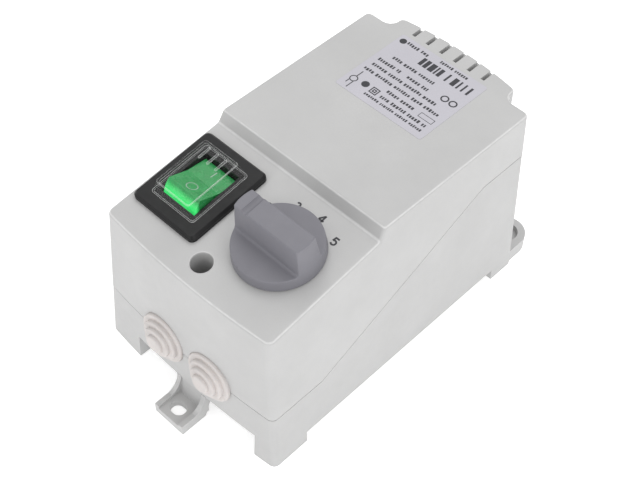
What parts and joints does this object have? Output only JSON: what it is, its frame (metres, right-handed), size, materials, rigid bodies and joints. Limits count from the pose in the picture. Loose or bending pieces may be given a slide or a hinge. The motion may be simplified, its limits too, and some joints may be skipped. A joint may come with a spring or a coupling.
{
  "type": "stepped autotransformer controller",
  "caption": "Wall-mounted stepped autotransformer controller: drafted two-part case with rotary selector, capped rocker switch, cable grommets, rear vents and fixing lugs",
  "frame": {"origin": "middle of the footprint, on the plane of the feet and fixing lugs", "axes": "+Z out of the mounting plane, +Y along the case from the cable entries to the vented end, +X across it to the selector's side"},
  "size_m": [0.1108, 0.2016, 0.1128],
  "materials": {
    "case_base": "fine-textured moulding",
    "case_cover": "fine-textured moulding",
    "seal_rubber": "matt",
    "grommet_rubber": "matt",
    "zinc_steel": "zinc plated",
    "bezel_black": "satin",
    "tinned_brass": "tinned",
    "rocker_green": "translucent, lit",
    "clear_cap": "clear flexible moulding",
    "lamp_glass": "clear",
    "knob_grey": "satin",
    "brass": "turned",
    "black_moulding": "satin",
    "core_steel": "varnished laminations",
    "bobbin_nylon": "natural nylon",
    "copper_winding": "enamelled wire",
    "tape_yellow": "polyester tape",
    "terminal_nylon": "natural nylon",
    "label_film": "printed film",
    "lead_red": "insulation",
    "lead_orange": "insulation",
    "lead_yellow": "insulation",
    "lead_green": "insulation",
    "lead_violet": "insulation",
    "lead_brown": "insulation",
    "lead_blue": "insulation",
    "lead_black": "insulation"
  },
  "bodies": {
    "root": {"base_housing": "case_base", "front_cover": "case_cover", "cover_seal": "seal_rubber", "cover_screw": "zinc_steel", "cable_grommet_left": "grommet_rubber", "cable_grommet_right": "grommet_rubber", "switch_frame": "bezel_black", "switch_tabs": "tinned_brass", "switch_splash_cover": "clear_cap", "switch_lamp": "lamp_glass", "selector_body": "black_moulding", "selector_contacts": "tinned_brass", "selector_nut": "brass", "selector_washer": "zinc_steel", "core_laminations": "core_steel", "coil_bobbin": "bobbin_nylon", "coil_winding": "copper_winding", "coil_tape": "tape_yellow", "coil_tags": "tinned_brass", "core_screws": "zinc_steel", "core_washers": "zinc_steel", "thermal_cutout": "black_moulding", "terminal_block": "terminal_nylon", "terminal_clamps": "brass", "terminal_screws": "zinc_steel", "block_screws": "zinc_steel", "rating_label": "label_film", "tap_lead_1": "lead_red", "tap_lead_2": "lead_orange", "tap_lead_3": "lead_yellow", "tap_lead_4": "lead_green", "tap_lead_5": "lead_violet", "feed_lead": "lead_brown", "switched_lead": "lead_brown", "neutral_lead": "lead_blue", "output_lead": "lead_black"},
    "selector": {"selector_knob": "knob_grey", "knob_insert": "brass", "selector_shaft": "zinc_steel", "selector_rotor": "black_moulding", "selector_wiper": "tinned_brass"},
    "rocker": {"switch_rocker": "rocker_green"}
  },
  "joints": [
    {"name": "selector_turn", "type": "hinge", "parent": "root", "child": "selector", "pos_m": [0.0205, -0.0459, 0.09082], "axis": [0, -0.13, 0.9915], "range_deg": [-128, 0]},
    {"name": "rocker_tilt", "type": "hinge", "parent": "root", "child": "rocker", "pos_m": [-0.0282, -0.04508, 0.08841], "axis": [1, 0, 0], "range_deg": [0, 39]}
  ]
}
